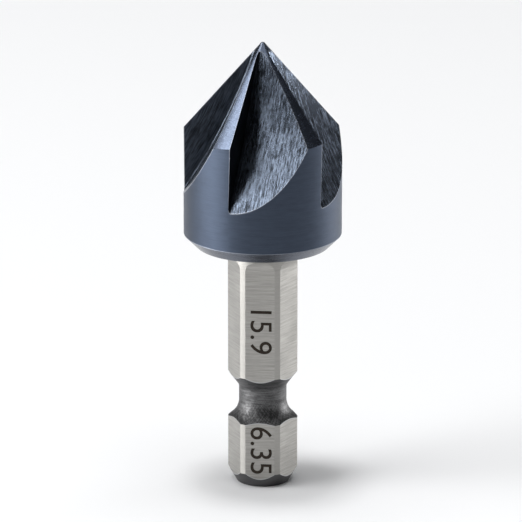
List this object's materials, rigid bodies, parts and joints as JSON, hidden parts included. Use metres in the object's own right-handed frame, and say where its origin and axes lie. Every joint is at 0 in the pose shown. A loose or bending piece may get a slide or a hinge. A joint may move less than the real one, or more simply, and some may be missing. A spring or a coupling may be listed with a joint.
{
  "type": "countersink bit",
  "caption": "Fluted countersink bit with a conical point, a round head and a hexagonal quick-change shank.",
  "frame": {"origin": "centre of the shank's end face, on the surface the bit stands on", "axes": "+Z along the axis from the shank to the point; -Y faces the picture's camera"},
  "size_m": [0.0158, 0.0158, 0.0458],
  "materials": {
    "tool_steel": "ground tool steel, head with a dark blue-grey coating, shank bright"
  },
  "bodies": {
    "root": {"countersink_bit": "tool_steel"}
  },
  "joints": []
}
